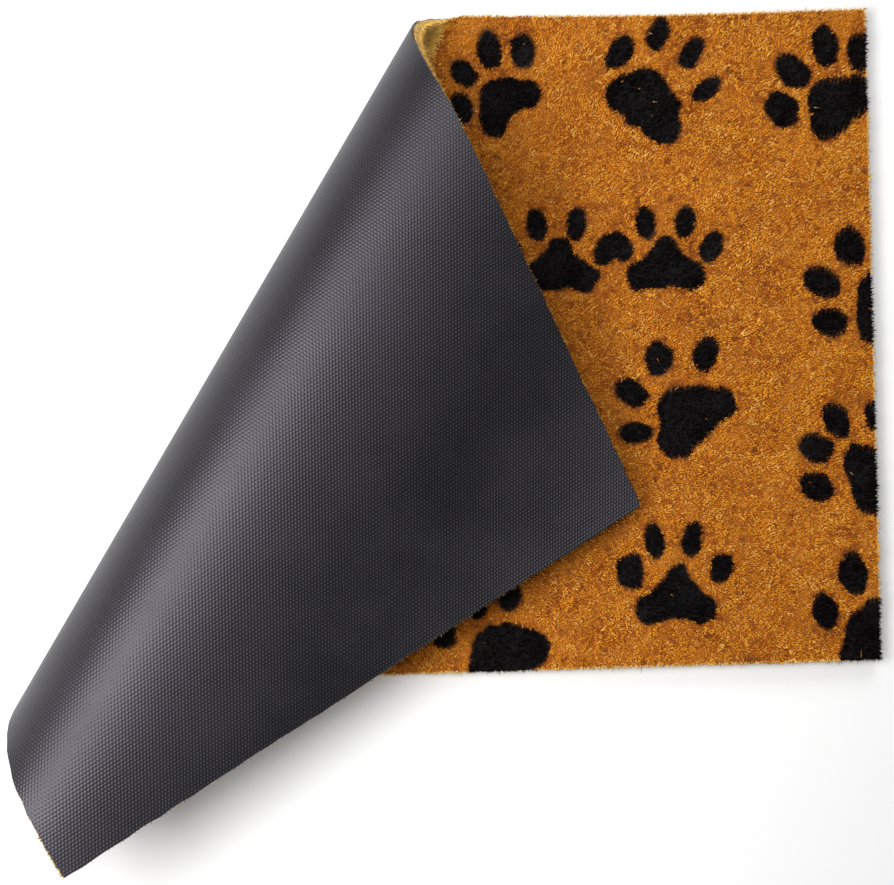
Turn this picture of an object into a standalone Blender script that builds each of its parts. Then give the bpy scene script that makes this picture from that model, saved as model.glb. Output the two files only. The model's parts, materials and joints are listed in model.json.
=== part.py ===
"""Coir doormat with one end folded over: natural coir pile on an embossed rubber backing, 750 x 450 x 13 mm when it lies flat.

The mat lies in the XY plane with its pile up (+Z) and its underside on Z = 0. The origin is the centre of the unfolded mat's underside. Its left end (-X) is folded
over on a slanted line, so the sheet is divided along lines parallel to the fold: a flat base, seven fold strips and the flap. Each has a backing and a pile.
"""

import math

import bmesh
import bpy
from mathutils import Matrix, Vector

MM = 0.001

# The sheet, in millimetres
LENGTH = 750.0
WIDTH = 450.0
BACKING = 2.0
THICKNESS = 13.0
BOND_GAP = 0.3  # between the backing and the pile that is bonded to it

# The fold
FOLD_LEAN = math.radians(30.5)  # how far the fold line leans from the short side
FOLD_OFFSET = 48.0  # from the mat's centre to the first hinge, measured across the fold
HINGE_TURN = math.radians(24.5)  # how far each hinge is closed at rest
STRIPS = (9.5, 12.0, 19.5, 25.5, 26.5, 24.5, 20.0)  # width of each fold strip
PANEL_GAP = 0.3  # between neighbouring panels

ACROSS = Vector((-math.cos(FOLD_LEAN), math.sin(FOLD_LEAN), 0.0))
ALONG = Vector((-math.sin(FOLD_LEAN), -math.cos(FOLD_LEAN), 0.0))
UP = Vector((0.0, 0.0, 1.0))


def clear_scene():
    for obj in list(bpy.data.objects):
        bpy.data.objects.remove(obj)


def hinge_places():
    """Distance of each hinge from the mat's centre across the fold, while the mat is flat."""
    places = [FOLD_OFFSET]
    for strip in STRIPS:
        places.append(places[-1] + strip)
    return places


def panel_places():
    """For each panel from the base to the flap, the rigid move that folds it from flat, in millimetres."""
    moves = [Matrix.Identity(4)]
    hinges = hinge_places()
    x, z = hinges[0], 0.0
    for i, hinge in enumerate(hinges):
        turn = HINGE_TURN * (i + 1)
        # Turning from ACROSS towards UP is a positive turn about -ALONG.
        spin = Matrix.Rotation(turn, 4, -ALONG)
        moves.append(
            Matrix.Translation(ACROSS * x + UP * z)
            @ spin
            @ Matrix.Translation(-ACROSS * hinge)
        )
        if i < len(STRIPS):
            x += STRIPS[i] * math.cos(turn)
            z += STRIPS[i] * math.sin(turn)
    return moves


def keep_side(bm, point, normal):
    """Cuts the solid on a plane and keeps what lies behind its normal."""
    geometry = bm.verts[:] + bm.edges[:] + bm.faces[:]
    cut = bmesh.ops.bisect_plane(
        bm, geom=geometry, dist=1e-5, plane_co=point, plane_no=normal, clear_outer=True
    )
    rim = [e for e in cut["geom_cut"] if isinstance(e, bmesh.types.BMEdge)]
    if rim:
        bmesh.ops.edgeloop_fill(bm, edges=rim)


def layer(low, high, start, end):
    """The flat mat's layer from height low to high, between two hinges. start and end are None at the mat's own ends."""
    bm = bmesh.new()
    bmesh.ops.create_cube(bm, size=1.0)
    for v in bm.verts:
        v.co = Vector(
            (v.co.x * LENGTH, v.co.y * WIDTH, (v.co.z + 0.5) * (high - low) + low)
        )
    half = HINGE_TURN / 2
    # A panel's edge leans back by half of the hinge's turn, so that two edges meet face to face at rest.
    if start is not None:
        normal = -ACROSS * math.cos(half) + UP * math.sin(half)
        keep_side(bm, ACROSS * start - normal * PANEL_GAP / 2, normal)
    if end is not None:
        normal = ACROSS * math.cos(half) + UP * math.sin(half)
        keep_side(bm, ACROSS * end - normal * PANEL_GAP / 2, normal)
    return bm


def add_object(name, bm, move, collection):
    bmesh.ops.transform(bm, matrix=Matrix.Scale(MM, 4) @ move, verts=bm.verts)
    bmesh.ops.recalc_face_normals(bm, faces=bm.faces)
    mesh = bpy.data.meshes.new(name)
    bm.to_mesh(mesh)
    bm.free()
    collection.objects.link(bpy.data.objects.new(name, mesh))


def build():
    clear_scene()
    collection = bpy.data.collections.new("coir_doormat")
    bpy.context.scene.collection.children.link(collection)
    hinges = hinge_places()
    names = ["base"] + [f"strip_{i + 1}" for i in range(len(STRIPS))] + ["flap"]
    for i, (name, move) in enumerate(zip(names, panel_places())):
        start = hinges[i - 1] if i > 0 else None
        end = hinges[i] if i < len(hinges) else None
        backing = layer(0.0, BACKING, start, end)
        pile = layer(BACKING + BOND_GAP, THICKNESS, start, end)
        add_object(f"backing_{name}", backing, move, collection)
        add_object(f"pile_{name}", pile, move, collection)


build()
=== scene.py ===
"""Looks of the folded coir doormat: an embossed rubber backing, and a pile of coir fibres dyed with
paw prints.

Everything is laid out on the flat mat, in metres, and then folded. A point of the flat mat has the
coordinates (x, y, h): x runs along the mat, y across it, both from its centre, and h is the height
above the underside. In the fold's own axes it is (s, t, h): s runs across the fold, towards the folded
end, and t along the fold.
"""

import json
import math

import bpy
import numpy as np
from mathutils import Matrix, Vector

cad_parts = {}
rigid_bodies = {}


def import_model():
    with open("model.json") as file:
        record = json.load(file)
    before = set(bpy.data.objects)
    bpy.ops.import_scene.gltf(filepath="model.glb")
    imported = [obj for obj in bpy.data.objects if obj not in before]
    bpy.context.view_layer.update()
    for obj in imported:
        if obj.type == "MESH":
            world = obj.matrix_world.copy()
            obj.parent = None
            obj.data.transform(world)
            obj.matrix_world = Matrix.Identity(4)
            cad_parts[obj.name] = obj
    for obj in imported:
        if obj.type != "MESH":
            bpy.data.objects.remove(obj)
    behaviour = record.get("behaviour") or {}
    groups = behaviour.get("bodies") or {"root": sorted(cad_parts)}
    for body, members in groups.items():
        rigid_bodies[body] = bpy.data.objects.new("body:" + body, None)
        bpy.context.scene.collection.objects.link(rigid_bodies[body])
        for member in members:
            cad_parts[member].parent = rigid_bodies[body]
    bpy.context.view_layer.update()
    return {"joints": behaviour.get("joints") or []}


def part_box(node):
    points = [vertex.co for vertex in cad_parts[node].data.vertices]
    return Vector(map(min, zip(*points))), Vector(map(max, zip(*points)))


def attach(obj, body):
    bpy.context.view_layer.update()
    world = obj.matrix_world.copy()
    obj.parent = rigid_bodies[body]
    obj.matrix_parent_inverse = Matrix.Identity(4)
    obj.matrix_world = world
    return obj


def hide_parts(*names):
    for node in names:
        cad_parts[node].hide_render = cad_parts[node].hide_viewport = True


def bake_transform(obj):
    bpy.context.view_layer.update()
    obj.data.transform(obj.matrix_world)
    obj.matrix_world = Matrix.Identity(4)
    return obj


MM = 0.001
RANDOM = np.random.default_rng(20)

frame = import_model()

# ---------------------------------------------------------------- the mat's sizes, from the frame

JOINTS = frame["joints"]
BASE_LOW, BASE_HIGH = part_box("backing_base")
HALF_LENGTH = BASE_HIGH.x
HALF_WIDTH = BASE_HIGH.y
BACKING = BASE_HIGH.z
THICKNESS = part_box("pile_base")[1].z

ALONG = np.array(JOINTS[0]["axis"], float)
ACROSS = np.array([ALONG[1], -ALONG[0], 0.0])
UP = np.array([0.0, 0.0, 1.0])
TURN = math.radians(JOINTS[0]["range_deg"][1])
PANELS = [JOINTS[0]["parent"]] + [joint["child"] for joint in JOINTS]

# The underside's hinge points in the section across the fold, as (across, up)
HINGES = np.array([(np.dot(j["pos_m"], ACROSS), j["pos_m"][2]) for j in JOINTS])
STRIP_WIDTHS = np.hypot(*np.diff(HINGES, axis=0).T)
FLAT_HINGES = HINGES[0, 0] + np.concatenate([[0], np.cumsum(STRIP_WIDTHS)])


def heading(panel):
    """The direction in which a panel leads away from the base, in the section across the fold."""
    return np.array([math.cos(panel * TURN), math.sin(panel * TURN)])


# Bend k turns about hinge k, from the middle of the strip before it to the middle of the strip after it.
HALF_STRIPS = np.concatenate([[STRIP_WIDTHS[0]], STRIP_WIDTHS, [STRIP_WIDTHS[-1]]]) / 2
BEND_STARTS = np.array([p - HALF_STRIPS[k] * heading(k) for k, p in enumerate(HINGES)])
BEND_ENDS = np.array([p + HALF_STRIPS[k + 1] * heading(k + 1) for k, p in enumerate(HINGES)])
FLAT_STARTS = FLAT_HINGES - HALF_STRIPS[:-1]
FLAT_ENDS = FLAT_HINGES + HALF_STRIPS[1:]


# ---------------------------------------------------------------- folding

CORNER_SPREAD = 14 * MM  # the mat isn't cut quite square: its far corner stands out this much
SPREAD_FROM = -0.10
SPREAD_POWER = 2.4


def cut_shape(x, y):
    """Moves points of the true rectangle to the mat's real outline."""
    reach = np.clip((x - SPREAD_FROM) / (HALF_LENGTH - SPREAD_FROM), 0, 1) ** SPREAD_POWER
    return x, y + CORNER_SPREAD * reach * (y + HALF_WIDTH) / (2 * HALF_WIDTH)


def to_fold_axes(x, y):
    return x * ACROSS[0] + y * ACROSS[1], x * ALONG[0] + y * ALONG[1]


def to_mat_axes(s, t):
    return s * ACROSS[0] + t * ALONG[0], s * ACROSS[1] + t * ALONG[1]


def section(s):
    """The underside's curve across the fold: places (across, up) and unit directions. Each bend is a
    parabola tangent to both strips."""
    places = np.stack([s, np.zeros_like(s)], 1)
    directions = np.tile(heading(0), (len(s), 1))
    for k in range(len(HINGES)):
        inside = (s >= FLAT_STARTS[k]) & (s <= FLAT_ENDS[k])
        first, second = FLAT_HINGES[k] - FLAT_STARTS[k], FLAT_ENDS[k] - FLAT_HINGES[k]
        # s - start = 2 first u + (second - first) u^2
        way = s[inside] - FLAT_STARTS[k]
        u = way / (first + np.sqrt(first**2 + (second - first) * way))
        u = u[:, None]
        start, hinge, end = BEND_STARTS[k], HINGES[k], BEND_ENDS[k]
        places[inside] = (1 - u) ** 2 * start + 2 * u * (1 - u) * hinge + u**2 * end
        slope = (1 - u) * (hinge - start) + u * (end - hinge)
        directions[inside] = slope / np.linalg.norm(slope, axis=1, keepdims=True)
    last = s > FLAT_ENDS[-1]
    places[last] = BEND_ENDS[-1] + (s[last] - FLAT_ENDS[-1])[:, None] * heading(len(HINGES))
    directions[last] = heading(len(HINGES))
    return places, directions


NORMAL_STEP = 0.5 * MM
NORMAL_SPREAD = 12 * MM  # the surface's shading turns evenly over about this much of the sheet
LAST_TURN = math.radians(13)  # this much of the turn is left where the flap begins
LAST_REACH = 90 * MM  # and it is spread over this much of the flap
TIP_TURN = math.radians(18)  # the flap's free corner is shaded as if it lay this much flatter
TIP_FROM, TIP_TO = 310 * MM, 430 * MM
KERNEL_REACH = 3  # spreads on either side that the evening out looks at
TABLE_MARGIN = 0.1


def turn_table():
    """The sheet's turn along s, evened out. Each strip's middle has the strip's heading."""
    middles = np.concatenate([[FLAT_STARTS[0]], FLAT_ENDS])
    turns = np.arange(len(middles)) * TURN
    turns[-1] -= LAST_TURN
    # The flap's own turn comes faster at first.
    middles = np.append(middles, [middles[-1] + 0.4 * LAST_REACH, middles[-1] + LAST_REACH])
    turns = np.append(turns, [turns[-1] + 0.6 * LAST_TURN, turns[-1] + LAST_TURN])
    middles = np.append(middles, [TIP_FROM, TIP_TO])
    turns = np.append(turns, [turns[-1], turns[-1] - TIP_TURN])
    s = np.arange(middles[0] - TABLE_MARGIN, middles[-1] + TABLE_MARGIN, NORMAL_STEP)
    reach = np.arange(-KERNEL_REACH, KERNEL_REACH + 0.01, NORMAL_STEP / NORMAL_SPREAD)
    kernel = np.exp(-(reach**2) / 2)
    straight = np.interp(s, middles, turns)
    padded = np.pad(straight, len(kernel) // 2, mode="edge")
    return s, np.convolve(padded, kernel / kernel.sum(), mode="valid")[: len(s)]


TURN_TABLE = turn_table()


def face_normal(x, y):
    """The direction out of the underside at flat points, for shading."""
    s, _ = to_fold_axes(*cut_shape(x, y))
    turn = np.interp(s, *TURN_TABLE)
    return np.sin(turn)[:, None] * ACROSS - np.cos(turn)[:, None] * UP


def fold(x, y, h):
    """Row-frame points of flat mat points."""
    s, t = to_fold_axes(*cut_shape(x, y))
    places, directions = section(s)
    across = places[:, 0] - h * directions[:, 1]
    up = places[:, 1] + h * directions[:, 0]
    return across[:, None] * ACROSS + t[:, None] * ALONG + up[:, None] * UP


class Region:
    """A stretch of the mat across the fold that rides on one panel, or bends between two."""

    def __init__(self, name, low, high, bend=None, panel=None):
        self.name, self.low, self.high = name, low, high
        self.bend, self.panel = bend, panel

    def attach(self, obj, replaced):
        """Attaches a piece to the region's panel; a bend's piece is only fixed where it is built. Hides
        the CAD node replaced that it stands for, if any.
        """
        if self.bend is None:
            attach(obj, self.panel)
        else:
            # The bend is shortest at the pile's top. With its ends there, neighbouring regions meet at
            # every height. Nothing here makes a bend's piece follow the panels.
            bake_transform(obj)
        if replaced:
            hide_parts(replaced)


def make_regions():
    # The first and the last region end at the corners that lie farthest across the fold.
    reach = HALF_LENGTH * abs(ACROSS[0]) + HALF_WIDTH * abs(ACROSS[1])
    regions = [Region("base", -reach - CORNER_SPREAD, FLAT_STARTS[0], panel=PANELS[0])]
    for k in range(len(HINGES)):
        regions.append(Region(f"bend_{k + 1}", FLAT_STARTS[k], FLAT_ENDS[k], bend=k))
    regions.append(Region("flap", FLAT_ENDS[-1], reach, panel=PANELS[-1]))
    return regions


def replaced_node(region, layer):
    """The CAD node that a region's piece stands for. The last two bends share the last strip."""
    if region.bend is None:
        return f"{layer}_{region.panel}"
    return f"{layer}_{PANELS[min(region.bend + 1, len(PANELS) - 2)]}"


# ---------------------------------------------------------------- meshes


def make_object(name, points, faces, material_of_face=None, smooth=False):
    """A mesh object from arrays. faces is a list of arrays, each of faces with as many corners."""
    mesh = bpy.data.meshes.new(name)
    counts = np.concatenate([np.full(len(f), f.shape[1]) for f in faces])
    corners = np.concatenate([f.ravel() for f in faces])
    mesh.vertices.add(len(points))
    mesh.vertices.foreach_set("co", np.ascontiguousarray(points, np.float32).ravel())
    mesh.loops.add(len(corners))
    mesh.loops.foreach_set("vertex_index", corners.astype(np.int32))
    mesh.polygons.add(len(counts))
    starts = np.concatenate([[0], np.cumsum(counts)[:-1]])
    mesh.polygons.foreach_set("loop_start", starts.astype(np.int32))
    if material_of_face is not None:
        mesh.polygons.foreach_set("material_index", material_of_face.astype(np.int32))
    mesh.polygons.foreach_set("use_smooth", np.full(len(counts), smooth))
    mesh.update(calc_edges=True)
    obj = bpy.data.objects.new(name, mesh)
    bpy.context.scene.collection.objects.link(obj)
    return obj


def add_attribute(obj, name, values):
    kind, field = ("FLOAT_VECTOR", "vector") if values.ndim == 2 else ("FLOAT", "value")
    made = obj.data.attributes.new(name, kind, "POINT")
    made.data.foreach_set(field, values.astype(np.float32).ravel())


BLUNT = 0.2 * MM  # the mat's outermost corners are cut off by this


def rows_of(region, step):
    """Rows of the region along the fold: s, and the row's two ends t. Rows pass through the corners."""
    halves = (HALF_LENGTH, HALF_WIDTH)
    corners = [to_fold_axes(x, y)[0] for x in (-halves[0], halves[0]) for y in (-halves[1], halves[1])]
    low = max(region.low, min(corners) + BLUNT)
    high = min(region.high, max(corners) - BLUNT)
    count = max(2, round((high - low) / step) + 1)
    s = np.linspace(low, high, count)
    s = np.unique(np.concatenate([s, [c for c in corners if low < c < high]]))
    ends = []
    for i, half in enumerate(halves):
        # The row is inside the mat where |s * ACROSS[i] + t * ALONG[i]| <= half.
        one = (half - s * ACROSS[i]) / ALONG[i]
        two = (-half - s * ACROSS[i]) / ALONG[i]
        ends.append((np.minimum(one, two), np.maximum(one, two)))
    low_t = np.maximum(ends[0][0], ends[1][0])
    high_t = np.minimum(ends[0][1], ends[1][1])
    return s, low_t, high_t


def grid_faces(rows, columns, offset=0, flip=False):
    index = offset + np.arange(rows * columns).reshape(rows, columns)
    quads = np.stack([index[:-1, :-1], index[:-1, 1:], index[1:, 1:], index[1:, :-1]], -1)
    quads = quads.reshape(-1, 4)
    return quads[:, ::-1] if flip else quads


def slab(name, region, step, profile):
    """A closed slab of the region. profile lists its levels from the underside up, as (height, inset
    from the mat's edge), where either may be a function of the flat place. The first and the last level
    are whole faces, and those between are rings round the rim."""
    s, low, high = rows_of(region, step)
    columns = max(3, round((high - low).max() / step) + 1)
    t = low[:, None] + (high - low)[:, None] * np.linspace(0, 1, columns)
    s = np.repeat(s[:, None], columns, axis=1)
    x, y = to_mat_axes(s.ravel(), t.ravel())
    rows = len(s)
    index = np.arange(rows * columns).reshape(rows, columns)
    rim = np.concatenate([index[0, :-1], index[:-1, -1], index[-1, :0:-1], index[:0:-1, 0]])
    flat, ring_starts = [], []
    for level, (height, inset) in enumerate(profile):
        kept = rim if 0 < level < len(profile) - 1 else index.ravel()
        px, py = x[kept], y[kept]
        if callable(inset):
            inset = inset(px, py)
        px = np.clip(px, inset - HALF_LENGTH, HALF_LENGTH - inset)
        py = np.clip(py, inset - HALF_WIDTH, HALF_WIDTH - inset)
        h = height(px, py) if callable(height) else np.full(len(px), height)
        ring_starts.append(sum(len(f) for f in flat))
        flat.append(np.stack([px, py, h], 1))
    flat = np.concatenate(flat)
    faces = [grid_faces(rows, columns), grid_faces(rows, columns, ring_starts[-1], flip=True)]
    ring = np.arange(len(rim))
    rings = [ring + start for start in ring_starts]
    rings[0], rings[-1] = rim, rim + ring_starts[-1]
    for lower, upper in zip(rings, rings[1:]):
        faces.append(np.stack([np.roll(lower, -1), lower, upper, np.roll(upper, -1)], 1))
    obj = make_object(name, fold(*flat.T), faces, smooth=True)
    add_attribute(obj, "flat_place", flat)
    shade_evenly(obj, flat, len(faces[0]))
    return obj


def shade_evenly(obj, flat, count):
    """Gives the first count faces, and the next count, the sheet's own normals, so that no seam shows
    where two regions meet. The rim keeps its flat faces."""
    outward = face_normal(flat[:, 0], flat[:, 1])
    corners = np.empty(len(obj.data.loops), np.int32)
    obj.data.loops.foreach_get("vertex_index", corners)
    rim = np.empty(len(obj.data.polygons) * 3, np.float32)
    obj.data.polygons.foreach_get("normal", rim)
    normals = np.repeat(rim.reshape(-1, 3), 4, axis=0)
    normals[: 4 * count] = outward[corners[: 4 * count]]
    normals[4 * count : 8 * count] = -outward[corners[4 * count : 8 * count]]
    obj.data.normals_split_custom_set([tuple(n) for n in normals])


# ---------------------------------------------------------------- the dyed pattern

# On the flat mat, in millimetres. Each paw print is (lobes of its pad, toes). The first lobe is the
# pad's middle, and the others are joined to it. A lobe is (x, y, radius). A toe is (x, y, half width,
# half length, lean in degrees anticlockwise from the mat's +Y).
PAWS = (
    (
        ((108, 168, 12.5), (105, 152, 10.5), (127, 171, 10.5), (101, 165, 7), (115, 172, 10)),
        (
            (101.6, 202, 8.8, 14.2, 8), (125.2, 201, 9.1, 12.6, 0),
            (83.6, 185.4, 8.5, 11.3, 45), (82, 161, 8, 12, 20),
        ),
    ),
    (
        ((211, 166, 18), (197.5, 169.5, 13.5), (213, 174, 14.5), (225, 147, 13), (226, 161, 12)),
        (
            (194, 199, 8.8, 13.2, -35), (222.4, 212, 8.5, 12, -25),
            (246.4, 198, 8, 12.5, -35), (256.6, 172, 7, 12.3, -50),
        ),
    ),
    (
        ((352, 160, 17), (345, 147, 13), (345, 163, 14), (366, 166, 12), (372, 166, 12)),
        (
            (320.6, 183, 10.5, 15, 50), (344, 200, 10.5, 15, 12),
            (311.6, 156.6, 11.5, 14, 45), (370, 195, 9, 14, 0),
        ),
    ),
    (
        ((378, 14, 15), (376, 28, 12), (375, 2, 11)),
        ((359.6, 59.4, 11.5, 14, 10), (338.4, 36, 10.5, 14.8, 60), (343.6, 7.6, 9.8, 13.5, 80)),
    ),
    (
        ((238, -55, 18), (230, -70, 14), (231, -48, 14.5), (245, -46, 14), (262, -46, 11)),
        (
            (218, -14, 10.3, 12.4, 5), (251.6, -11.6, 9, 13, -25),
            (197.6, -36.6, 9, 13.5, 60), (200.4, -64.6, 8, 12.5, 90),
        ),
    ),
    (
        ((363, -90, 12), (374, -98, 19), (370, -114, 12)),
        (
            (346.4, -60, 9.5, 13.7, 25), (331, -78.6, 10, 13.6, 75),
            (331, -105.5, 9.8, 13.2, 70), (376, -57, 9, 10, 0),
        ),
    ),
    (
        ((228, -177, 14), (229, -164, 8.5), (207, -187, 10), (245, -187, 10.4)),
        (
            (212, -139.3, 7.4, 12.4, 10), (239.3, -139.3, 7.4, 12.7, -12),
            (195, -159.6, 10, 12.8, 8), (260, -159.6, 8, 10.8, -25),
        ),
    ),
    (
        ((370, -208, 18), (374, -196, 14), (356, -224, 12), (362, -206, 14)),
        ((355.6, -166, 10.8, 14.8, 15), (335, -190.7, 9.8, 13, 20)),
    ),
    (
        ((110, -211, 18), (98, -208, 14.5), (124, -211, 13.5), (92, -220, 12)),
        ((62, -199, 9, 11.5, 60), (86, -179, 8.5, 11, 20), (109, -173.5, 9.5, 11.5, 0)),
    ),
    # In the middle row, where the real mat has lettering
    (
        ((148, 51, 14), (149, 62, 9), (130, 43, 10), (166, 43, 10.4)),
        (
            (133, 80, 7.4, 12, 10), (161, 80, 7.4, 12, -12),
            (114, 62, 8.5, 11.5, 25), (182, 62, 8.5, 11.5, -25),
        ),
    ),
    (
        ((224, 51, 14), (225, 62, 9), (206, 43, 10), (242, 43, 10.4)),
        (
            (211, 80, 7.4, 12, 10), (239, 80, 7.4, 12, -12),
            (192, 64, 8.5, 11.5, 25), (257, 62, 8.5, 11.5, -25),
        ),
    ),
    # Under the flap, where nobody can see the real ones
    (
        ((2, 160, 14), (3, 171, 9), (-16, 152, 10), (20, 152, 10.4)),
        (
            (-13, 189, 7.4, 12, 10), (15, 189, 7.4, 12, -12),
            (-32, 171, 8.5, 11.5, 25), (36, 171, 8.5, 11.5, -25),
        ),
    ),
    (
        ((122, -82, 16), (113, -92, 12), (116, -74, 12), (138, -76, 11)),
        (
            (98, -38, 9, 12.5, 5), (130, -38, 9, 12.5, -25),
            (80, -62, 9, 12.5, 60), (84, -92, 8, 12, 90),
        ),
    ),
    (
        ((2, -102, 14), (3, -91, 9), (-16, -110, 10), (20, -110, 10.4)),
        (
            (-13, -73, 7.4, 12, 10), (15, -73, 7.4, 12, -12),
            (-32, -91, 8.5, 11.5, 25), (36, -91, 8.5, 11.5, -25),
        ),
    ),
)
PAW_REACH = 75  # no paw print is wider than this about its pad
LOBE_BLEND = 1.2
WAVER = 0.55  # how far the dye's edge wanders
WAVER_LENGTH = 16
WAVES = 7


def wander(x, y, scale, seed):
    """A smooth random field of about unit size, from a few waves."""
    rng = np.random.default_rng(seed)
    total = np.zeros_like(x)
    for _ in range(WAVES):
        angle, phase = rng.uniform(0, 2 * math.pi, 2)
        wave = 2 * math.pi / (scale * rng.uniform(0.6, 1.6))
        total += np.sin(wave * (x * math.cos(angle) + y * math.sin(angle)) + phase)
    return total / 2.0


def toe_gap(x, y, toe):
    """Roughly the distance outside a toe, negative inside."""
    cx, cy, half_width, half_length, lean = toe
    angle = math.radians(lean)
    dx, dy = x - cx, y - cy
    across = dx * math.cos(angle) + dy * math.sin(angle)
    along = dy * math.cos(angle) - dx * math.sin(angle)
    return (np.hypot(across / half_width, along / half_length) - 1) * half_width


def pad_gap(x, y, lobes):
    """The distance outside a pad: tapered strokes from its middle lobe to each other lobe, blended."""
    mx, my, middle = lobes[0]
    total = np.zeros_like(x)
    for lx, ly, radius in lobes[1:]:
        dx, dy = lx - mx, ly - my
        way = np.clip(((x - mx) * dx + (y - my) * dy) / (dx * dx + dy * dy), 0, 1)
        gap = np.hypot(x - mx - way * dx, y - my - way * dy) - middle - way * (radius - middle)
        total += np.exp(-np.clip(gap, -60, 60) / LOBE_BLEND)
    return -LOBE_BLEND * np.log(total)


def paw_gap(x, y, paw):
    lobes, toes = paw
    return np.minimum.reduce([pad_gap(x, y, lobes)] + [toe_gap(x, y, toe) for toe in toes])


def dye_gap(x, y):
    """Millimetres outside the dyed shapes, negative inside, for flat mat points in metres. The two
    halves of the mat mirror each other."""
    x, y = x / MM, y / MM
    shift_x, shift_y = (WAVER * wander(x, y, WAVER_LENGTH, seed) for seed in (1, 2))
    x, y = x + shift_x, y + shift_y
    gap = np.full_like(x, 1e3)
    for paw in PAWS:
        for side in (1, -1):
            near = np.hypot(side * x - paw[0][0][0], y - paw[0][0][1]) < PAW_REACH
            gap[near] = np.minimum(gap[near], paw_gap(side * x[near], y[near], paw))
    return gap


# ---------------------------------------------------------------- materials


class Nodes:
    """Short calls for building a material's nodes."""

    def __init__(self, name):
        self.material = bpy.data.materials.new(name)
        self.material.use_nodes = True
        self.tree = self.material.node_tree
        self.shader = self.tree.nodes["Principled BSDF"]

    def add(self, kind, inputs=None, **settings):
        node = self.tree.nodes.new(kind)
        for key, value in settings.items():
            setattr(node, key, value)
        for key, value in (inputs or {}).items():
            if isinstance(value, bpy.types.NodeSocket):
                self.tree.links.new(value, node.inputs[key])
            else:
                node.inputs[key].default_value = value
        return node

    def maths(self, operation, *values):
        node = self.add("ShaderNodeMath", operation=operation)
        for i, value in enumerate(values):
            if isinstance(value, bpy.types.NodeSocket):
                self.tree.links.new(value, node.inputs[i])
            else:
                node.inputs[i].default_value = value
        return node.outputs[0]

    def flat_place(self):
        return self.add("ShaderNodeAttribute", attribute_name="flat_place").outputs["Vector"]

    def map_range(self, value, old, new):
        inputs = {"Value": value, "From Min": old[0], "From Max": old[1]}
        inputs |= {"To Min": new[0], "To Max": new[1]}
        return self.add("ShaderNodeMapRange", inputs).outputs["Result"]

    def noise(self, vector, scale, detail=2.0, roughness=0.5):
        inputs = {"Vector": vector, "Scale": scale, "Detail": detail, "Roughness": roughness}
        return self.add("ShaderNodeTexNoise", inputs).outputs["Fac"]

    def ramp(self, value, stops):
        node = self.add("ShaderNodeValToRGB", {"Fac": value})
        elements = node.color_ramp.elements
        while len(elements) < len(stops):
            elements.new(0.5)
        for element, (place, colour) in zip(elements, stops):
            element.position = place
            element.color = (*colour, 1)
        return node.outputs["Color"]

    def mix(self, factor, first, second):
        node = self.add("ShaderNodeMix", data_type="RGBA")
        # The node holds sockets for every data type, and only those of the colour mix are enabled.
        sockets = {socket.name: socket for socket in node.inputs if socket.enabled}
        for name, value in (("Factor", factor), ("A", first), ("B", second)):
            self.tree.links.new(value, sockets[name])
        return next(socket for socket in node.outputs if socket.enabled)

    def link(self, output, socket):
        self.tree.links.new(output, self.shader.inputs[socket])


def fibre_material(name, colour, shine=0.2):
    """A fibre has one colour along its whole length. The pile's variety comes from its many shades."""
    nodes = Nodes(name)
    nodes.shader.inputs["Base Color"].default_value = (*colour, 1)
    nodes.shader.inputs["Roughness"].default_value = 0.6
    nodes.shader.inputs["Specular IOR Level"].default_value = shine
    return nodes.material


NATURAL_SHADES = (
    # name, linear colour, share of the undyed fibres
    ("coir_straw", (0.72, 0.385, 0.070), 0.13),
    ("coir_gold", (0.66, 0.280, 0.016), 0.33),
    ("coir_orange", (0.56, 0.200, 0.006), 0.30),
    ("coir_rust", (0.40, 0.100, 0.004), 0.17),
    ("coir_brown", (0.20, 0.046, 0.004), 0.07),
)
DYED = ("coir_dyed", (0.0028, 0.0015, 0.0017))
RAW = ("coir_raw", (0.72, 0.50, 0.17))  # the cut ends
LIT_FLANK = ("coir_flank", (0.98, 0.63, 0.14))  # undyed flanks where the pile gapes, painted paler than the raw ends: painted light where the fold shades them

BED_INSET = 0.4 * MM


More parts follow.
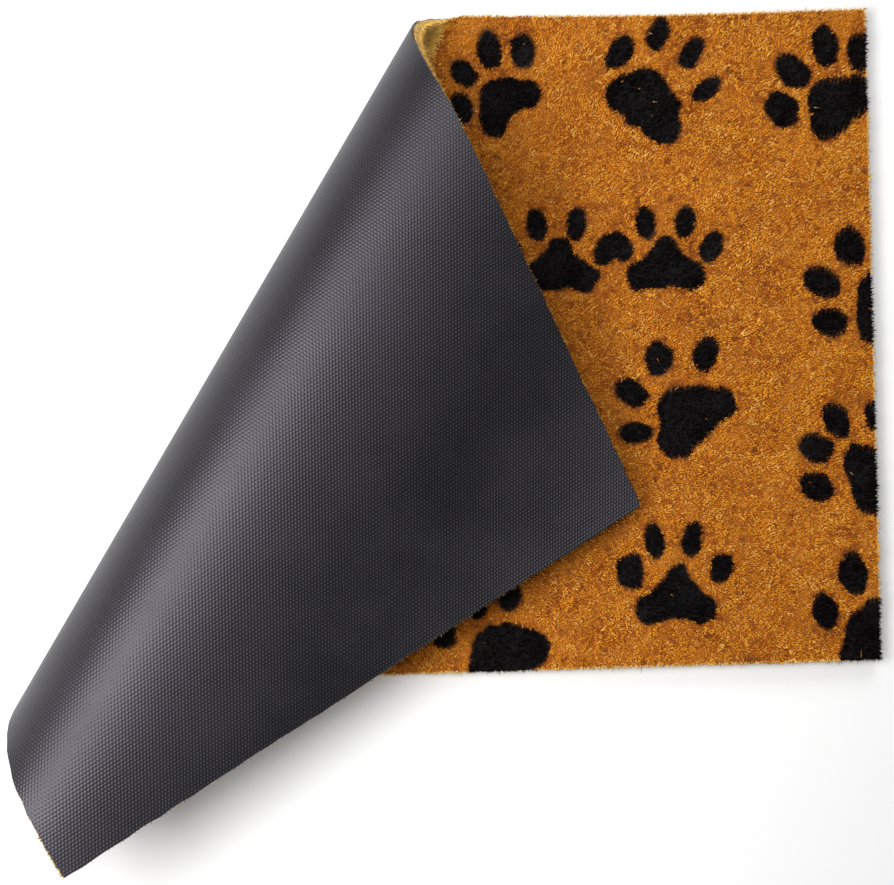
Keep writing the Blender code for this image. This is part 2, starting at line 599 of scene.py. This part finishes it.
def bed_material():
    """The pile between and below the separate fibres."""
    nodes = Nodes("coir_bed")
    place = nodes.flat_place()
    fine = nodes.noise(place, 900, 3.0, 0.65)
    patches = nodes.noise(place, 26, 2.0)
    mixed = nodes.maths("MULTIPLY_ADD", fine, 0.8, nodes.maths("MULTIPLY", patches, 0.2))
    natural = nodes.ramp(
        mixed,
        (
            (0.30, (0.08, 0.023, 0.003)),
            (0.48, (0.27, 0.084, 0.0065)),
            (0.60, (0.45, 0.160, 0.013)),
            (0.74, (0.56, 0.270, 0.04)),
        ),
    )
    dyed = nodes.ramp(fine, ((0.35, (0.002, 0.0012, 0.0013)), (0.75, (0.006, 0.004, 0.0042))))
    dye = nodes.add("ShaderNodeAttribute", attribute_name="dye").outputs["Fac"]
    topside = nodes.mix(dye, natural, dyed)
    # The cut sides are streaked with the raw ends of the fibres.
    split = nodes.add("ShaderNodeSeparateXYZ", {"Vector": place})
    upright = nodes.add("ShaderNodeVectorMath", {0: place, 1: (1, 1, 0.15)}, operation="MULTIPLY")
    streaks = nodes.noise(upright.outputs[0], 1400, 2.0)
    straw = nodes.ramp(streaks, ((0.35, (0.33, 0.18, 0.05)), (0.6, (0.72, 0.50, 0.18))))
    to_end = nodes.maths("SUBTRACT", HALF_LENGTH, nodes.maths("ABSOLUTE", split.outputs["X"]))
    to_side = nodes.maths("SUBTRACT", HALF_WIDTH, nodes.maths("ABSOLUTE", split.outputs["Y"]))
    depth = nodes.maths("MINIMUM", to_end, to_side)
    cut = nodes.map_range(depth, (1.1 * BED_INSET, 1.5 * BED_INSET), (1.0, 0.0))
    nodes.link(nodes.mix(cut, topside, straw), "Base Color")
    nodes.shader.inputs["Roughness"].default_value = 0.8
    nodes.shader.inputs["Specular IOR Level"].default_value = 0.2
    bump = nodes.add("ShaderNodeBump", {"Height": fine, "Strength": 0.8, "Distance": 0.0008})
    nodes.link(bump.outputs["Normal"], "Normal")
    return nodes.material


WEAVE = 2.34 * MM  # distance between two dots of the embossed weave in a row
WEAVE_ROW = 2.26 * MM  # distance between two rows


def backing_material():
    """Black rubber embossed with a fine woven texture: dots in rows along the mat's short side, each row
    half a dot aside."""
    nodes = Nodes("rubber_backing")
    place = nodes.flat_place()
    split = nodes.add("ShaderNodeSeparateXYZ", {"Vector": place})
    across = nodes.maths("MULTIPLY", split.outputs["Y"], 2 * math.pi / WEAVE)
    rows = nodes.maths("MULTIPLY", split.outputs["X"], math.pi / WEAVE_ROW)
    crossed = nodes.maths("MULTIPLY", nodes.maths("COSINE", across), nodes.maths("COSINE", rows))
    ridges = nodes.maths("COSINE", nodes.maths("MULTIPLY", rows, 2.0))
    # One wave in each of three directions: 1 on a dot, -0.5 between the dots
    dots = nodes.maths("MULTIPLY_ADD", crossed, 2 / 3, nodes.maths("MULTIPLY", ridges, 1 / 3))
    worn = nodes.noise(place, 14, 3.0, 0.6)
    grain = nodes.noise(place, 1500, 2.0)
    height = nodes.maths("ADD", dots, nodes.maths("MULTIPLY", grain, 0.5))
    bump = nodes.add("ShaderNodeBump", {"Height": height, "Strength": 0.9, "Distance": 0.00015})
    nodes.link(bump.outputs["Normal"], "Normal")
    # The hollows between the dots are painted dark and the dots painted pale: painted shade in the
    # hollows and painted highlights on the dots, over patches of wear.
    shade = nodes.maths("MULTIPLY_ADD", dots, 0.4, nodes.maths("MULTIPLY_ADD", worn, 0.5, 0.09))
    # Painted shade and highlights: dark hollows, pale dots.
    colour = nodes.ramp(
        shade,
        (
            (0.15, (0.0002, 0.0002, 0.0003)),
            (0.42, (0.0012, 0.0011, 0.0018)),
            (0.75, (0.0185, 0.0175, 0.0235)),
        ),
    )
    nodes.link(colour, "Base Color")
    nodes.link(nodes.map_range(worn, (0.3, 0.7), (0.43, 0.51)), "Roughness")
    nodes.shader.inputs["Specular IOR Level"].default_value = 0.66
    nodes.shader.inputs["Specular Tint"].default_value = (0.94, 0.89, 1, 1)
    return nodes.material


# ---------------------------------------------------------------- backing

SHEET_STEP = 4 * MM
EDGE_ROUND = 0.4 * MM
BACKING_INSET = 0.6 * MM  # the pile stands out over the rubber by this
RAGGED, RAGGED_LENGTH = 0.3 * MM, 15


def ragged_inset(x, y):
    """The rubber is cut a little unevenly."""
    return BACKING_INSET + RAGGED * wander(x / MM, y / MM, RAGGED_LENGTH, seed=61)


def make_backing(region, material):
    profile = [
        (0.0, lambda x, y: ragged_inset(x, y) + EDGE_ROUND),
        (EDGE_ROUND, ragged_inset),
        (BACKING, ragged_inset),
    ]
    obj = slab(f"rubber_{region.name}", region, SHEET_STEP, profile)
    obj.data.materials.append(material)
    region.attach(obj, replaced_node(region, "backing"))


# ---------------------------------------------------------------- pile

BED_STEP = 2.5 * MM
BED_TOP = 8.8 * MM
BED_ROUGH = 0.35 * MM  # the bed's height varies by this over BED_WIDE millimetres
BED_FINE_SHARE = 0.6  # and by this share of it over BED_FINE millimetres
BED_WIDE, BED_FINE = 30, 5
DYE_FADE = 1.6  # millimetres over which the bed's dye ends


def bed_height(x, y):
    x, y = x / MM, y / MM
    fine = BED_ROUGH * wander(x, y, BED_FINE, seed=5) * BED_FINE_SHARE
    return BED_TOP + fine + BED_ROUGH * wander(x, y, BED_WIDE, seed=6)


def make_bed(region, material):
    profile = [
        (BACKING, BED_INSET),
        (BED_TOP * 0.5, BED_INSET),
        (bed_height, 1.6 * BED_INSET),
    ]
    obj = slab(f"coir_bed_{region.name}", region, BED_STEP, profile)
    places = np.empty(len(obj.data.vertices) * 3, np.float32)
    obj.data.attributes["flat_place"].data.foreach_get("vector", places)
    places = places.reshape(-1, 3).astype(float)
    add_attribute(obj, "dye", np.clip(0.5 - dye_gap(places[:, 0], places[:, 1]) / DYE_FADE, 0, 1))
    obj.data.materials.append(material)
    region.attach(obj, replaced_node(region, "pile"))


FIBRE_SPACING = 1.16 * MM
FIBRE_FOOT = 6.5 * MM
FIBRE_DIP = 0.9 * MM  # how far below the pile's top a fibre ends on average
FIBRE_SHORTEST = 2 * MM
FIBRE_OVER = 0.8 * MM  # no fibre ends farther above the pile's top
FIBRE_RADIUS = (0.65, 1.0)  # in millimetres, the least and the most
TUFT = 2.2 * MM  # neighbouring fibres stick together in tufts of about this width
TUFTS = 1024  # the tufts' random numbers repeat after this many
TUFT_WANDER, TUFT_WANDER_LENGTH = 1.1, 7  # in millimetres, how the rows of tufts wander
TUFT_LEAN = 0.6 * MM
FIBRE_LEAN = 0.35 * MM
TUFT_RISE = 0.8 * MM
FIBRE_RISE = 0.2 * MM
PRINT_FUZZ = 0.45  # how unevenly the dye ends, in millimetres
STAIN = 1.3  # how much the dye browns the fibres next to it
STAIN_REACH = 1.6  # in millimetres
MISSED = 0.001  # the share of the fibres in a print that the dye missed
TUFT_HUE, FIBRE_HUE = 0.85, 0.2  # how much the shade varies from tuft to tuft, and in a tuft
PATCH_HUE, PATCH_LENGTH = 0.2, 45  # how much it drifts over so many millimetres
MOST_FIBRES = 60000  # in one object
STRAW_SHADE, GOLD_SHADE, ORANGE_SHADE = range(3)
DYED_SHADE, RAW_SHADE, FLANK_SHADE = range(len(NATURAL_SHADES), len(NATURAL_SHADES) + 3)


class Fibres:
    """Fibres as arrays: feet and tips on the flat mat (x, y, h), radius, and shade number."""

    def __init__(self, feet, tips, radius, shade):
        self.feet, self.tips, self.radius, self.shade = feet, tips, radius, shade

    def join(self, other):
        pairs = zip(vars(self).values(), vars(other).values())
        return Fibres(*(np.concatenate(pair) for pair in pairs))


def spikes(feet, tips, radius):
    """One three-sided pyramid for each fibre: points and faces. The bed hides its open foot."""
    count = len(feet)
    turned = np.random.default_rng(31).uniform(0, 2 * math.pi, count)
    points = np.empty((count, 4, 3))
    for corner in range(3):
        angle = turned + corner * 2 * math.pi / 3
        points[:, corner] = feet
        points[:, corner, 0] += radius * np.cos(angle)
        points[:, corner, 1] += radius * np.sin(angle)
    points[:, 3] = tips
    first = np.arange(count)[:, None] * 4
    faces = np.concatenate([first + [0, 1, 3], first + [1, 2, 3], first + [2, 0, 3]], axis=1)
    return points.reshape(-1, 3), faces.reshape(-1, 3)


def jittered_grid(spacing):
    """Points evenly spread over the whole mat."""
    nx, ny = int(2 * HALF_LENGTH / spacing), int(2 * HALF_WIDTH / spacing)
    x, y = np.meshgrid(np.arange(nx) + 0.5, np.arange(ny) + 0.5, indexing="ij")
    count = nx * ny
    x = (x.ravel() + RANDOM.uniform(-0.5, 0.5, count)) / nx * 2 * HALF_LENGTH - HALF_LENGTH
    y = (y.ravel() + RANDOM.uniform(-0.5, 0.5, count)) / ny * 2 * HALF_WIDTH - HALF_WIDTH
    return x, y


def tuft_numbers(x, y, kinds):
    """Random numbers of unit spread that the fibres of one tuft share, one column for each kind."""
    wx = x / MM + TUFT_WANDER * wander(x / MM, y / MM, TUFT_WANDER_LENGTH, seed=41)
    wy = y / MM + TUFT_WANDER * wander(x / MM, y / MM, TUFT_WANDER_LENGTH, seed=42)
    column = np.floor(wx * MM / TUFT).astype(int) % TUFTS
    row = np.floor(wy * MM / TUFT + 0.5 * (column % 2)).astype(int) % TUFTS
    return RANDOM.normal(0, 1, (TUFTS, TUFTS, kinds))[column, row]


def dyed_at(x, y):
    return dye_gap(x, y) + RANDOM.normal(0, PRINT_FUZZ, len(x)) < 0


def natural_shades(value):
    """Shade numbers from values of unit spread: low ones are straw, high ones brown."""
    edges = np.cumsum([share for _, _, share in NATURAL_SHADES])
    # The share of a normal distribution below the value, near enough
    below = 1 / (1 + np.exp(-1.7 * value))
    return np.searchsorted(edges, np.clip(below, 0, 0.999))


def pile_fibres():
    x, y = jittered_grid(FIBRE_SPACING * (1))
    count = len(x)
    tuft = tuft_numbers(x, y, 4)
    lean = TUFT_LEAN * tuft[:, :2] + RANDOM.normal(0, FIBRE_LEAN, (count, 2))
    rise = TUFT_RISE * tuft[:, 2] + RANDOM.normal(0, FIBRE_RISE, count)
    height = THICKNESS - FIBRE_DIP + rise
    height = np.clip(height, FIBRE_FOOT + FIBRE_SHORTEST, THICKNESS + FIBRE_OVER)
    tip_x, tip_y = x + lean[:, 0], y + lean[:, 1]
    drift = PATCH_HUE * wander(x / MM, y / MM, PATCH_LENGTH, seed=51)
    gap = dye_gap(tip_x, tip_y) + RANDOM.normal(0, PRINT_FUZZ, count)
    stain = STAIN * np.exp(-np.clip(gap, 0, None) / STAIN_REACH)
    hue = TUFT_HUE * tuft[:, 3] + RANDOM.normal(0, FIBRE_HUE, count) + drift + stain
    shade = natural_shades(hue)
    dyed = (gap < 0) & (RANDOM.uniform(0, 1, count) > MISSED)
    # These flanks get the painted-light colour, paler than the raw ends, standing in for light that the
    # fold keeps off them.
    shade[opened_side(x, y)] = FLANK_SHADE
    shade[dyed] = DYED_SHADE
    feet = np.stack([x, y, np.full(count, FIBRE_FOOT)], 1)
    tips = np.stack([tip_x, tip_y, height], 1)
    return Fibres(feet, tips, RANDOM.uniform(*FIBRE_RADIUS, count) * MM, shade)


OPENED = 5.5 * MM  # how far the pile gapes from the mat's side
OPENED_FROM, OPENED_TO = 22 * MM, 63 * MM  # x of the wedge where it gapes farther
OPENED_SLOPE = 0.95
SIDE_FUZZ, WEDGE_FUZZ = 0.7 * MM, 3 * MM  # how unevenly the gaping strip and the wedge end


def opened_side(x, y):
    """Which fibres show their raw flanks: at the tight end of the fold, by the mat's upper side, the
    pile gapes."""
    s, _ = to_fold_axes(x, y)
    from_side = HALF_WIDTH - y + RANDOM.normal(0, SIDE_FUZZ, len(x))
    strip = (from_side < OPENED) & (s > FLAT_HINGES[1]) & (s < FLAT_ENDS[-1])
    along = x + RANDOM.normal(0, WEDGE_FUZZ, len(x))
    wedge = (along < OPENED_TO) & (from_side < OPENED_SLOPE * (along - OPENED_FROM))
    return strip | wedge


# The (least, most) pairs here and below are in millimetres.
STRAYS = 1100
STRAY_REACH = (2, 6)
STRAY_RISE = (0, 1.2)  # how far above the pile's top a stray fibre's tip is
STRAY_DIP = 1.2 * MM  # and how far below it its foot is
STRAY_RADIUS = (0.14, 0.26)
STRAY_MISSED = 0.15  # the share of them that the dye missed


def stray_fibres():
    """Long loose fibres that lie over the pile."""
    x = RANDOM.uniform(-HALF_LENGTH, HALF_LENGTH, STRAYS)
    y = RANDOM.uniform(-HALF_WIDTH, HALF_WIDTH, STRAYS)
    direction = RANDOM.uniform(0, 2 * math.pi, STRAYS)
    reach = RANDOM.uniform(*STRAY_REACH, STRAYS) * MM
    tip_x = np.clip(x + reach * np.cos(direction), -HALF_LENGTH, HALF_LENGTH)
    tip_y = np.clip(y + reach * np.sin(direction), -HALF_WIDTH, HALF_WIDTH)
    feet = np.stack([x, y, np.full(STRAYS, THICKNESS - STRAY_DIP)], 1)
    tips = np.stack([tip_x, tip_y, THICKNESS + RANDOM.uniform(*STRAY_RISE, STRAYS) * MM], 1)
    shade = RANDOM.choice([STRAW_SHADE, STRAW_SHADE, GOLD_SHADE, GOLD_SHADE, ORANGE_SHADE], STRAYS)
    dyed = dyed_at(x, y) & (RANDOM.uniform(0, 1, STRAYS) > STRAY_MISSED)
    shade[dyed] = DYED_SHADE
    return Fibres(feet, tips, RANDOM.uniform(*STRAY_RADIUS, STRAYS) * MM, shade)


EDGE_SPACING = 0.16 * MM
EDGE_DEPTH = (0.6, 1.4)  # how far inside the pile's side a fibre starts
EDGE_LOWEST, EDGE_HIGHEST = BACKING - 0.4 * MM, THICKNESS - 1.2 * MM  # heights where it may start
EDGE_REACH, EDGE_LEAST_REACH = 0.75, 0.2 * MM  # how far it stands out: spread in mm, and least
EDGE_LONG_SHARE, EDGE_LONG = 0.07, 2.3  # this share of them stands out so many times as far
EDGE_SHIFT = 0.8 * MM  # how far it leans along the side
EDGE_CLIMB = (0.2, 1.5)  # how far it leads up: mean and spread, in millimetres
EDGE_TIP_LOWEST, EDGE_TIP_OVER = 1.0 * MM, 0.3 * MM
EDGE_RADIUS = (0.22, 0.42)
DYE_DEPTH = 6.0 * MM  # the dye doesn't reach lower than this
RUBBERED = 2.1 * MM  # fibres that start lower than this are caught in the black rubber


def edge_fibres():
    """The cut sides of the pile: fibres that stand out of them, raw straw below and dyed at the top."""
    around = 4 * (HALF_LENGTH + HALF_WIDTH)  # the mat's whole edge
    count = int(around / EDGE_SPACING / (1))
    long_side = RANDOM.uniform(0, around, count) < 4 * HALF_LENGTH
    side = np.where(RANDOM.uniform(0, 1, count) < 0.5, -1.0, 1.0)
    along = RANDOM.uniform(-1, 1, count) * np.where(long_side, HALF_LENGTH, HALF_WIDTH)
    depth = RANDOM.uniform(*EDGE_DEPTH, count) * MM
    foot = RANDOM.uniform(EDGE_LOWEST, EDGE_HIGHEST, count)
    reach = np.abs(RANDOM.normal(0, EDGE_REACH, count)) * MM + EDGE_LEAST_REACH
    reach[RANDOM.uniform(0, 1, count) < EDGE_LONG_SHARE] *= EDGE_LONG
    shift = RANDOM.normal(0, EDGE_SHIFT, count)
    climb = RANDOM.normal(*EDGE_CLIMB, count) * MM
    across_limit = np.where(long_side, HALF_WIDTH, HALF_LENGTH)
    foot_across, tip_across = side * (across_limit - depth), side * (across_limit + reach)
    tip = np.clip(foot + climb, EDGE_TIP_LOWEST, THICKNESS + EDGE_TIP_OVER)
    feet, tips = (
        np.stack([np.where(long_side, a, b), np.where(long_side, b, a), h], 1)
        for a, b, h in ((along, foot_across, foot), (along + shift, tip_across, tip))
    )
    # The flank colour among these is painted light, paler than the raw ends.
    shade = RANDOM.choice([RAW_SHADE, RAW_SHADE, FLANK_SHADE, STRAW_SHADE, GOLD_SHADE], count)
    dyed = dyed_at(feet[:, 0], feet[:, 1]) & (foot > DYE_DEPTH) | (foot < RUBBERED)
    shade[dyed] = DYED_SHADE
    return Fibres(feet, tips, RANDOM.uniform(*EDGE_RADIUS, count) * MM, shade)


def make_fibres(regions, materials):
    fibres = pile_fibres().join(stray_fibres()).join(edge_fibres())
    s, _ = to_fold_axes(*cut_shape(fibres.feet[:, 0], fibres.feet[:, 1]))
    for region in regions:
        chosen = np.flatnonzero((s >= region.low) & (s < region.high))
        pieces = max(1, math.ceil(len(chosen) / MOST_FIBRES))
        chosen = chosen[np.argsort(fibres.feet[chosen, 1], kind="stable")]
        for number, group in enumerate(np.array_split(chosen, pieces)):
            name = f"coir_fibres_{region.name}" + (f"_{number + 1}" if pieces > 1 else "")
            flat, faces = spikes(fibres.feet[group], fibres.tips[group], fibres.radius[group])
            shades = np.repeat(fibres.shade[group], 3)
            obj = make_object(name, fold(*flat.T), [faces], shades, smooth=True)
            for material in materials:
                obj.data.materials.append(material)
            region.attach(obj, None)


# ---------------------------------------------------------------- stage


FLOOR_HALF = 6.0
FLOOR_GAP = 0.4 * MM
FLOOR_SHADE = 0.8
WORLD = 0.06
# name, height above the horizon and bearing from +X in degrees, distance, size, and brightness in watts
# per square metre and steradian
LIGHTS = (
    ("window", 67, 157, 1.5, (0.5, 1.4), 8.8),
    ("ceiling", 50, 193, 1.35, (0.6, 0.5), 14),
    ("wall", 34, 70, 1.7, (1.1, 0.7), 6),
    ("front", 28, -115, 1.8, (1.6, 0.6), 3.2),
)
CAMERA_PLACE = (-0.1073, -0.1081, 1.2001)
CAMERA_TURNS = (2.04, -8.33, -0.95)  # degrees
CAMERA_LENS, CAMERA_SENSOR = 70.9, 36


def make_floor():
    corners = [(-FLOOR_HALF, -FLOOR_HALF, 0), (FLOOR_HALF, -FLOOR_HALF, 0)]
    corners += [(FLOOR_HALF, FLOOR_HALF, 0), (-FLOOR_HALF, FLOOR_HALF, 0)]
    mesh = bpy.data.meshes.new("floor")
    mesh.from_pydata(corners, [], [(0, 1, 2, 3)])
    floor = bpy.data.objects.new("floor", mesh)
    floor.location.z = -FLOOR_GAP
    bpy.context.scene.collection.objects.link(floor)
    nodes = Nodes("pale_floor")
    nodes.shader.inputs["Base Color"].default_value = (FLOOR_SHADE, FLOOR_SHADE, FLOOR_SHADE, 1)
    nodes.shader.inputs["Roughness"].default_value = 0.9
    floor.data.materials.append(nodes.material)


def make_world():
    world = bpy.data.worlds.new("studio")
    world.use_nodes = True
    world.node_tree.nodes["Background"].inputs["Color"].default_value = (1, 1, 1, 1)
    world.node_tree.nodes["Background"].inputs["Strength"].default_value = WORLD
    bpy.context.scene.world = world


def add_light(name, height, bearing, distance, size, brightness):
    """A lit panel that faces the mat."""
    data = bpy.data.lights.new(name, "AREA")
    data.shape = "RECTANGLE"
    data.size, data.size_y = size
    data.energy = brightness * size[0] * size[1] * math.pi
    up, round_ = math.radians(height), math.radians(bearing)
    level = math.cos(up)
    direction = Vector((level * math.cos(round_), level * math.sin(round_), math.sin(up)))
    lamp = bpy.data.objects.new(name, data)
    lamp.location = direction * distance
    lamp.rotation_euler = direction.to_track_quat("Z", "Y").to_euler()
    bpy.context.scene.collection.objects.link(lamp)


def make_camera():
    data = bpy.data.cameras.new("camera")
    data.sensor_width = CAMERA_SENSOR
    data.lens = CAMERA_LENS
    camera = bpy.data.objects.new("camera", data)
    bpy.context.scene.collection.objects.link(camera)
    camera.location = CAMERA_PLACE
    camera.rotation_euler = [math.radians(turn) for turn in CAMERA_TURNS]
    bpy.context.scene.camera = camera


# ---------------------------------------------------------------- build

regions = make_regions()
rubber = backing_material()
bed = bed_material()
fibre_materials = [fibre_material(name, colour) for name, colour, _ in NATURAL_SHADES]
fibre_materials.append(fibre_material(*DYED, shine=0.02))
fibre_materials.append(fibre_material(*RAW))
fibre_materials.append(fibre_material(*LIT_FLANK))
for region in regions:
    make_backing(region, rubber)
    make_bed(region, bed)
make_fibres(regions, fibre_materials)
make_floor()
make_world()
for light in LIGHTS:
    add_light(*light)
make_camera()
bpy.context.scene.view_settings.view_transform = "Standard"
